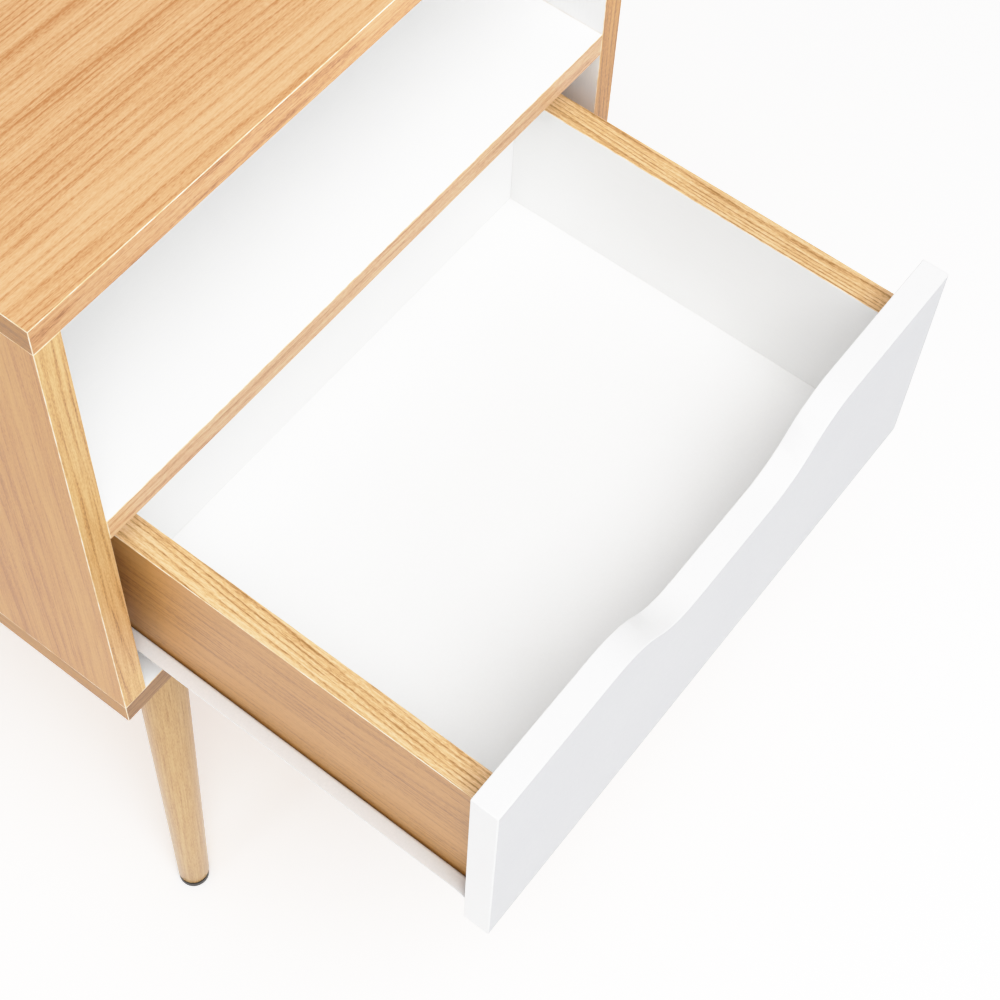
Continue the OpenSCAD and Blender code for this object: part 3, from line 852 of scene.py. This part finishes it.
# %% [markdown]
# ## The runners
#
# The drawer runs on two pairs of rolled steel sections, epoxy coated in white. The cabinet's member is a
# channel; the drawer's is an angle under the side board, with a flat track that reaches outwards and dips
# at its front end. Sheet metal is modelled as it is made: a flat sheet with no thickness is bent by
# extruding its edges, the bends are rounded with a bevel, and Solidify gives it the steel's 1 mm. The
# right pair is made first, and the left is its mirror image.

# %% Coated steel
steel, steel_tree, steel_shader = new_finish("steel_epoxy_coated", Roughness=0.32, IOR=1.5)
steel_place = add(steel_tree, "TexCoord").outputs["Object"]
peel = add(steel_tree, "TexNoise", {"Scale": per(1.2), "Detail": 2.0}, {"Vector": steel_place})
steel_tone = ramp(steel_tree, peel.outputs["Fac"], [(0.3, paint("#E6E9EB")), (0.7, paint("#ECEEF0"))])
steel_tree.links.new(steel_tone.outputs["Color"], steel_shader.inputs["Base Color"])
skin = add(steel_tree, "Bump", {"Strength": 0.2, "Distance": 0.05 * MM}, {"Height": peel.outputs["Fac"]})
steel_tree.links.new(skin.outputs["Normal"], steel_shader.inputs["Normal"])
STEEL = 1 * MM
BEND = 1.2 * MM
STEPS = 3  # facets in each bend
print(steel.name, "on sheet", STEEL / MM, "mm thick")


def sheet(name, low, high):
    """A flat sheet of no thickness between two corners, upright if both have the same X."""
    clear()
    size = high - low
    upright = near(low.x, high.x)
    bpy.ops.mesh.primitive_plane_add(
        size=1,
        location=(low + high) / 2,
        rotation=(0, math.radians(90) if upright else 0, 0),
    )
    bpy.context.object.scale = (size.z if upright else size.x, size.y, 1)
    return start(name)


def bend_round(piece, radius, test):
    """Rounds the bends, the edges that run from front to back and pass the test."""
    pick(piece, lambda at, way: abs(way.y) > 0.7 and test(at), "edges")
    bpy.ops.mesh.bevel(offset=radius, segments=STEPS, affect="EDGES")


def thicken(piece, out):
    """Gives the sheet its thickness, on the side away from out, the way that its first face should look."""
    pick_all(piece)
    bpy.ops.mesh.remove_doubles(threshold=0.001 * MM)
    bpy.ops.mesh.normals_make_consistent(inside=False)
    clear()
    web = max(piece.data.polygons, key=lambda face: face.area * abs(face.normal.x))
    if web.normal.x * out < 0:
        pick_all(piece)
        bpy.ops.mesh.flip_normals()
    take(piece)
    shell = piece.modifiers.new("steel", "SOLIDIFY")
    shell.thickness = STEEL
    shell.offset = -1
    shell.use_even_offset = True
    bpy.ops.object.modifier_apply(modifier=shell.name)


def mirrored(piece, name):
    """The left-hand copy of a right-hand piece, with its own mesh."""
    copy = piece.copy()
    copy.data = piece.data.copy()
    scene.collection.objects.link(copy)
    copy.name = copy.data.name = name
    take(copy)
    copy.scale.x = -1
    bpy.ops.object.transform_apply(location=True, rotation=True, scale=True)
    pick_all(copy)
    bpy.ops.mesh.normals_make_consistent(inside=False)
    clear()
    return copy


# %% The cabinet's channel
rail_low, rail_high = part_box("right_cabinet_rail")
front_roller_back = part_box("right_cabinet_roller")[1].y
LIP = 2.5 * MM  # the upper flange starts this far behind the roller
channel = sheet("right_channel", Vector((rail_high.x, rail_low.y, rail_low.z)), rail_high)
flange = rail_high.x - rail_low.x
lip_y = front_roller_back + LIP
pick(channel, lambda at, way: near(at.z, rail_low.z), "edges")
move(x=-flange)
pick_all(channel)
bpy.ops.mesh.bisect(plane_co=(0, lip_y, 0), plane_no=(0, 1, 0))
pick(channel, lambda at, way: near(at.z, rail_high.z) and at.y > lip_y and abs(way.y) > 0.9, "edges")
move(x=-flange)
bend_round(channel, BEND, lambda at: near(at.x, rail_high.x) and (near(at.z, rail_low.z) or at.y > lip_y))
thicken(channel, 1)
print("the channel is", round((rail_high.z - rail_low.z) / MM, 1), "mm high")

# %% Its two stamped stops
stops = [channel]
rear_roller_low, rear_roller_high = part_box("right_drawer_roller")
travel = next(j for j in frame["joints"] if j["name"] == "drawer_slide")["range_m"][1]
STOP_GAP = 0.3 * MM
axle_z = (rear_roller_low.z + rear_roller_high.z) / 2
for y in (rear_roller_low.y - STOP_GAP - STEEL, rear_roller_high.y + STOP_GAP + travel):
    clear()
    bpy.ops.mesh.primitive_cube_add(
        size=1,
        location=(rail_high.x - flange / 2 + 1 * MM - STEEL / 4, y + STEEL / 2, axle_z + 1.5 * MM),
        scale=(flange - 2 * MM - STEEL / 2, STEEL, 5 * MM),
    )
    stop = start("stop")
    pick(stop, lambda at, way: abs(way.y) > 0.9 and at.x < rail_high.x - flange / 2, "edges")
    bpy.ops.mesh.bevel(offset=1.4 * MM, segments=4, affect="EDGES")
    clear()
    stops.append(stop)
channel = join(stops, "right_channel")
channel.data.materials.append(steel)
smooth(channel, 40)
left_channel = mirrored(channel, "left_channel")
hand_over(channel, "cabinet", "white_steel", "right_cabinet_rail")
hand_over(left_channel, "cabinet", "white_steel", "left_cabinet_rail")

# %% The drawer's angle and its dipping track
track_low, track_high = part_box("right_drawer_rail")
side_low, side_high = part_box("drawer_right_side")
NOSE_R = 14 * MM
NOSE = 8 * MM
EAR_R = 6.5 * MM
CLEAR = 0.6 * MM  # the web stands this far off the board, which shows as a dark line
TRACK_BEND = 1.8 * MM
ledge_z = side_low.z
web_x = side_high.x + CLEAR
track_start = Vector((web_x, track_low.y + NOSE, track_high.z))
angle = sheet("right_angle", track_start, track_high)
pick(angle, lambda at, way: near(at.y, track_start.y), "edges")
bpy.ops.mesh.spin(
    steps=6,
    angle=-math.asin(NOSE / NOSE_R),
    center=(0, track_start.y, track_high.z - NOSE_R),
    axis=(1, 0, 0),
)
pick_all(angle)
bpy.ops.mesh.remove_doubles(threshold=0.001 * MM)
clear()
print("the nose reaches y =", round(min(v.co.y for v in angle.data.vertices) / MM, 2), "mm")
pick_all(angle)
bpy.ops.mesh.bisect(plane_co=(0, side_high.y, 0), plane_no=(0, 1, 0))

# the web hangs from the track's inner edge, and its lower edge is drawn level at the ledge
pick(angle, lambda at, way: near(at.x, web_x), "edges")
move(z=ledge_z - track_high.z)
bpy.ops.transform.resize(value=(1, 1, 0), center_override=(0, 0, ledge_z))
pick(angle, lambda at, way: near(at.x, web_x) and near(at.z, ledge_z) and at.y < side_high.y, "edges")
move(x=track_low.x - web_x)
bend_round(angle, TRACK_BEND, lambda at: near(at.x, web_x) and at.z > track_high.z - NOSE / 2)
bend_round(angle, CLEAR, lambda at: near(at.x, web_x) and near(at.z, ledge_z) and at.y < side_high.y)
thicken(angle, -1)

# %% Its eye for the rear roller
clear()
bpy.ops.mesh.primitive_cylinder_add(
    vertices=40,
    radius=EAR_R,
    depth=STEEL,
    location=(web_x + STEEL / 2, (rear_roller_low.y + rear_roller_high.y) / 2, axle_z),
    rotation=(0, math.radians(90), 0),
)
ear = start("ear")
pick(ear, lambda at, way: abs(way.x) < 0.1 and at.x > web_x + STEEL / 2, "edges")
bpy.ops.mesh.bevel(offset=0.25 * MM, segments=1, affect="EDGES")
angle = join([angle, ear], "right_angle")
angle.data.materials.append(steel)
smooth(angle, 40)
left_angle = mirrored(angle, "left_angle")
hand_over(angle, "drawer", "white_steel", "right_drawer_rail")
hand_over(left_angle, "drawer", "white_steel", "left_drawer_rail")

# %% [markdown]
# ## The rollers
#
# Four nylon rollers, as moulded: a rim and a hub with a shallow dish between them on both faces. Each
# rides on its own body and turns on its pin. A cylinder's end faces are inset and sunk for the dish, and
# the hub's two ends are joined by a bridge, which leaves the bore open.

# %% Moulded nylon
nylon, nylon_tree, nylon_shader = new_finish("nylon_moulded", Roughness=0.4, IOR=1.53)
nylon_place = add(nylon_tree, "TexCoord").outputs["Object"]
haze = add(nylon_tree, "TexNoise", {"Scale": per(2.5), "Detail": 2.0}, {"Vector": nylon_place})
nylon_tone = ramp(nylon_tree, haze.outputs["Fac"], [(0.3, paint("#E6E4DC")), (0.7, paint("#F1EFE8"))])
nylon_tree.links.new(nylon_tone.outputs["Color"], nylon_shader.inputs["Base Color"])
RIM = 1.5 * MM
HUB_R = 3.2 * MM
BORE_R = 2.05 * MM
DISH = 1 * MM

for side in ("left", "right"):
    for kind, body in (("cabinet", "front_roller"), ("drawer", "rear_roller")):
        node = f"{side}_{kind}_roller"
        low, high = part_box(node)
        radius = (high.z - low.z) / 2
        clear()
        bpy.ops.mesh.primitive_cylinder_add(
            vertices=48,
            radius=radius,
            depth=high.x - low.x,
            location=(low + high) / 2,
            rotation=(0, math.radians(90), 0),
        )
        roller = start(f"{side}_{kind}_wheel")
        pick(roller, lambda at, way: abs(way.x) < 0.1, "edges")
        bpy.ops.mesh.bevel(offset=0.3 * MM, segments=2, affect="EDGES")
        pick(roller, lambda at, normal: abs(normal.x) > 0.99)
        bpy.ops.mesh.inset(thickness=RIM - 0.5 * MM)
        bpy.ops.mesh.inset(thickness=0.2 * MM, depth=-DISH)
        bpy.ops.mesh.inset(thickness=radius - RIM - HUB_R - 0.2 * MM)
        bpy.ops.mesh.inset(thickness=0.2 * MM, depth=DISH)
        bpy.ops.mesh.inset(thickness=HUB_R - 0.2 * MM - BORE_R)
        bpy.ops.mesh.bridge_edge_loops()
        clear()
        roller.data.materials.append(nylon)
        smooth(roller, 40)
        hand_over(roller, f"{side}_{body}", "nylon", node)

# %% [markdown]
# ## Screws
#
# The screws are bright zinc-plated steel. One screw of each kind is made at the origin, head down, with
# its shank pointing up: the head is a short cylinder or a cone, the shank is extruded out of it and drawn
# to a point, and two crossed slots are cut into the head. It is then copied to each place where the
# design model has that screw, and turned to look the same way.

# %% Zinc-plated steel
zinc, zinc_tree, zinc_shader = new_finish("steel_zinc_plated", Metallic=1.0)
zinc_place = add(zinc_tree, "TexCoord").outputs["Object"]
grains = add(zinc_tree, "TexNoise", {"Scale": per(2), "Detail": 3.0}, {"Vector": zinc_place})
zinc_tone = ramp(zinc_tree, grains.outputs["Fac"], [(0.3, paint("#B9BCC0")), (0.7, paint("#D3D5D8"))])
zinc_rough = add(zinc_tree, "MapRange", {"To Min": 0.24, "To Max": 0.42}, {"Value": grains.outputs["Fac"]})
zinc_tree.links.new(zinc_tone.outputs["Color"], zinc_shader.inputs["Base Color"])
zinc_tree.links.new(zinc_rough.outputs[0], zinc_shader.inputs["Roughness"])
print("bright screws are", zinc.name)

# %% Make one, copy it everywhere
WAYS = {"up": Vector((0, 0, 1)), "right": Vector((1, 0, 0)), "left": Vector((-1, 0, 0))}


def screw(head_r, head_t, shank_r, length, flat):
    """One cross-head screw, its head's face at z = 0 and its shank up; flat means countersunk."""
    clear()
    bpy.ops.mesh.primitive_cone_add(
        vertices=24,
        radius1=head_r,
        radius2=shank_r if flat else head_r,
        depth=head_t,
        location=(0, 0, head_t / 2),
    )
    made = start("screw")
    if not flat:
        pick(made, lambda at, way: at.z < 0.01 * MM and abs(way.z) < 0.1, "edges")
        bpy.ops.mesh.bevel(offset=head_t * 0.45, segments=2, affect="EDGES")
    pick(made, lambda at, normal: normal.z > 0.99)
    if not flat:
        bpy.ops.mesh.inset(thickness=head_r - shank_r)
    tip = 1.5 * shank_r
    move(z=length - head_t - tip)
    move(z=tip)
    bpy.ops.mesh.merge(type="CENTER")
    for turn in (0, 90):
        clear()
        bpy.ops.mesh.primitive_cube_add(
            size=1,
            rotation=(0, 0, math.radians(turn)),
            scale=(head_r * 1.1, head_r * 0.24, head_t * 1.3),
        )
        boolean(made, start("slot"))
    return made


def screws(name, node, body, head_r, head_t, shank_r, flat, way):
    """A screw at each of the node's solids; way is up, inwards or outwards along X."""
    spots = solids(node)
    low, high = spots[0]
    length = max(high - low)
    first = screw(head_r, head_t, shank_r, length, flat)
    made = []
    for low, high in spots:
        at = (low + high) / 2
        if way == "up":
            into = WAYS["up"]
        else:
            into = WAYS["right"] if (at.x > 0) == (way == "outwards") else WAYS["left"]
        copy = first.copy()
        copy.data = first.data.copy()
        scene.collection.objects.link(copy)
        copy.location = at - into * length / 2
        copy.rotation_euler = into.to_track_quat("Z", "Y").to_euler()
        take(copy)
        bpy.ops.object.transform_apply(location=True, rotation=True, scale=True)
        made.append(copy)
    bpy.data.objects.remove(first)
    group = join(made, name)
    group.data.materials.append(zinc)
    smooth(group, 35)
    hand_over(group, body, "zinc_steel", node)


PAN_R, PAN_T = 3.8 * MM, 1.4 * MM
SINK_R, SINK_T = 4 * MM, 1.8 * MM
SCREW_R = 2 * MM
screws("side_fixing_screws", "carcass_screws", "cabinet", 5 * MM, 2 * MM, 2.5 * MM, True, "up")
screws("plate_screws", "leg_plate_screws", "cabinet", SINK_R, SINK_T, SCREW_R, True, "up")
screws("channel_screws", "cabinet_rail_screws", "cabinet", SINK_R, SINK_T, SCREW_R, True, "outwards")
screws("angle_screws", "drawer_rail_screws", "drawer", PAN_R, PAN_T, SCREW_R, False, "up")
screws("box_back_screws", "drawer_back_screws", "drawer", SINK_R, SINK_T, SCREW_R, True, "inwards")
screws("box_floor_screws", "drawer_bottom_screws", "drawer", 3 * MM, 1.2 * MM, 1.5 * MM, False, "up")

# %% [markdown]
# ## Fittings that keep their design shape
#
# The dowels, cams, cam bolts, leg plates, hanger bolts and roller pins are right as the design model
# makes them, so they only get their finish. The cams are die-cast zinc, duller and greyer than plating.
# The dowels are beech, turned and fluted, with a straight grain.

# %% Dress the design model's own parts
cast, cast_tree, cast_shader = new_finish("zinc_die_cast", Metallic=1.0)
cast_place = add(cast_tree, "TexCoord").outputs["Object"]
mould = add(cast_tree, "TexNoise", {"Scale": per(0.8), "Detail": 4.0}, {"Vector": cast_place})
cast_tone = ramp(cast_tree, mould.outputs["Fac"], [(0.3, paint("#9A9CA0")), (0.7, paint("#B4B6B9"))])
cast_rough = add(cast_tree, "MapRange", {"To Min": 0.45, "To Max": 0.6}, {"Value": mould.outputs["Fac"]})
cast_tree.links.new(cast_tone.outputs["Color"], cast_shader.inputs["Base Color"])
cast_tree.links.new(cast_rough.outputs[0], cast_shader.inputs["Roughness"])
beech = oak("beech_turned", "X", "#E3C08F", "#D4AC78", "#B98B55", 3, (0, 0.01, 0), (2, 1), 0.2)

KEPT = {
    zinc: ["cam_bolts", "leg_hanger_bolts", "cabinet_roller_pins", "drawer_roller_pins"]
    + ["leg_plate_" + place for place in PLACES],
    cast: ["cam_locks"],
    beech: ["carcass_dowels", "drawer_dowels"],
}
for finish, nodes in KEPT.items():
    for node in nodes:
        kept = frame["nodes"][node]
        if not kept.material_slots:
            kept.data.materials.append(finish)
        for place in kept.material_slots:
            place.material = finish
        print(node, "is", finish.name)

# %% [markdown]
# ## The floor
#
# The nightstand stands on a plain pale floor. In a white studio the floor is lit so strongly that it
# nearly disappears, so it glows a little of its own light, which also lifts the undersides.

# %% Lay the floor
clear()
bpy.ops.mesh.primitive_plane_add(size=12, location=(0, 0, -0.2 * MM))
floor = start("studio_floor")
floor_paint, floor_tree, floor_shader = new_finish("studio_floor_paint", Roughness=0.9)
floor_place = add(floor_tree, "TexCoord").outputs["Object"]
sweep = add(floor_tree, "TexNoise", {"Scale": 0.8, "Detail": 2.0}, {"Vector": floor_place})
floor_tone = ramp(floor_tree, sweep.outputs["Fac"], [(0.3, paint("#FAFAFA")), (0.7, paint("#FDFDFD"))])
floor_tree.links.new(floor_tone.outputs["Color"], floor_shader.inputs["Base Color"])
floor_shader.inputs["Emission Color"].default_value = (1, 1, 1, 1)
floor_shader.inputs["Emission Strength"].default_value = 0.3
floor.data.materials.append(floor_paint)
floor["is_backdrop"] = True
print("the floor is", round(floor.dimensions.x, 1), "m across")

# %% [markdown]
# ## The size of the pieces
#
# The modelled pieces are meant to fill the same box as the design model. Both boxes are printed.

# %% Write the sizes
clear()
visual_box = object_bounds()
for name, box in (("design model", cad_box), ("modelled pieces", visual_box)):
    print(name, "fills", [[round(c / MM, 1) for c in corner] for corner in box])
